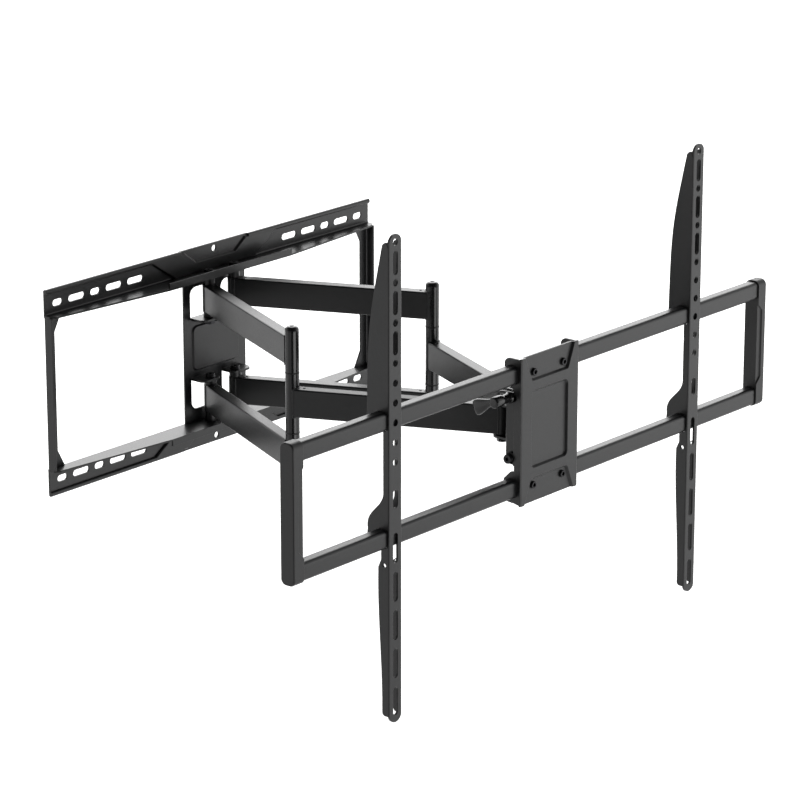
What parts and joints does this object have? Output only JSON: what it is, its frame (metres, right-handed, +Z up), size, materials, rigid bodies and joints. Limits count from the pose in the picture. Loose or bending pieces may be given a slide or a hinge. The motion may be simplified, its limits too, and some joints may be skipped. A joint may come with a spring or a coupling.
{
  "type": "full motion tv wall mount",
  "caption": "Full motion television wall mount: slotted wall plate, folding dual arms, tilting head with cross tubes and sliding slotted uprights.",
  "frame": {"origin": "centre of the wall plate on the wall plane, midway between its rails and struts", "axes": "+X to the right seen from the front, +Z up, -Y out of the wall toward the television"},
  "size_m": [0.97, 0.582, 0.623],
  "materials": {
    "powder_coat": "fine-textured satin black powder coat on pressed and welded steel",
    "lever_coat": "satin black coated cast lever",
    "cap_plastic": "moulded black plastic, light grain",
    "bush_plastic": "smooth black nylon",
    "gloss_plastic": "glossy black moulded plug",
    "fasteners": "black oxide steel, semi-gloss"
  },
  "bodies": {
    "wall_plate": {"top_rail": "powder_coat", "bottom_rail": "powder_coat", "left_strut": "powder_coat", "right_strut": "powder_coat", "pivot_plate": "powder_coat", "wall_pivot_bolts": "fasteners", "wall_pivot_nuts": "fasteners"},
    "left_rear_link": {"left_rear_upper_arm": "powder_coat", "left_rear_lower_arm": "powder_coat", "left_elbow_pin": "fasteners", "left_elbow_caps": "gloss_plastic", "left_wall_bushes": "bush_plastic"},
    "left_front_link": {"left_front_arm": "powder_coat", "left_elbow_bushes": "bush_plastic", "left_head_bushes": "bush_plastic"},
    "right_rear_link": {"right_rear_upper_arm": "powder_coat", "right_rear_lower_arm": "powder_coat", "right_elbow_pin": "fasteners", "right_elbow_caps": "gloss_plastic", "right_wall_bushes": "bush_plastic"},
    "right_front_link": {"right_front_arm": "powder_coat", "right_elbow_bushes": "bush_plastic", "right_head_bushes": "bush_plastic"},
    "head": {"pivot_bracket": "powder_coat", "head_pivot_bolts": "fasteners", "head_pivot_nuts": "fasteners", "tilt_washers": "fasteners", "tilt_pivot_bolts": "fasteners", "tilt_nuts": "fasteners", "guide_pin": "fasteners", "clamp_stud": "fasteners"},
    "tilt_head": {"tilt_plate": "powder_coat", "plate_screws": "fasteners", "upper_tube": "powder_coat", "lower_tube": "powder_coat", "left_end_cap": "cap_plastic", "right_end_cap": "cap_plastic"},
    "lever": {"clamp_lever": "lever_coat"},
    "left_bracket": {"left_tv_bracket": "powder_coat"},
    "right_bracket": {"right_tv_bracket": "powder_coat"}
  },
  "joints": [
    {"name": "extend", "type": "hinge", "parent": "wall_plate", "child": "left_rear_link", "pos_m": [-0.025, -0.016, 0], "axis": [0, 0, -1], "range_deg": [-19.5, 59.5]},
    {"name": "left_elbow", "type": "hinge", "parent": "left_rear_link", "child": "left_front_link", "pos_m": [-0.142, -0.27038, 0], "axis": [0, 0, 1], "range_deg": [-39.5, 119.5]},
    {"name": "left_head_pivot", "type": "hinge", "parent": "left_front_link", "child": "head", "pos_m": [-0.025, -0.52477, 0], "axis": [0, 0, -1], "range_deg": [-20, 60]},
    {"name": "right_wall_pivot", "type": "hinge", "parent": "wall_plate", "child": "right_rear_link", "pos_m": [0.025, -0.016, 0], "axis": [0, 0, 1], "range_deg": [-20, 60]},
    {"name": "right_elbow", "type": "hinge", "parent": "right_rear_link", "child": "right_front_link", "pos_m": [0.142, -0.27038, 0], "axis": [0, 0, -1], "range_deg": [-39.5, 119.5]},
    {"name": "tilt", "type": "hinge", "parent": "head", "child": "tilt_head", "pos_m": [0, -0.5635, -0.036], "axis": [1, 0, 0], "range_deg": [-4, 10]},
    {"name": "clamp", "type": "hinge", "parent": "head", "child": "lever", "pos_m": [-0.084, -0.5635, 0.045], "axis": [1, 0, 0], "range_deg": [0, 30]},
    {"name": "left_bracket_slide", "type": "slide", "parent": "tilt_head", "child": "left_bracket", "axis": [1, 0, 0], "range_m": [-0.15, 0.185]},
    {"name": "right_bracket_slide", "type": "slide", "parent": "tilt_head", "child": "right_bracket", "axis": [1, 0, 0], "range_m": [-0.24, 0.133]}
  ],
  "couplings": [
    {"joint": "left_elbow", "follows": "extend", "ratio": 2},
    {"joint": "left_head_pivot", "follows": "extend", "ratio": 1},
    {"joint": "right_wall_pivot", "follows": "extend", "ratio": 1},
    {"joint": "right_elbow", "follows": "extend", "ratio": 2}
  ]
}
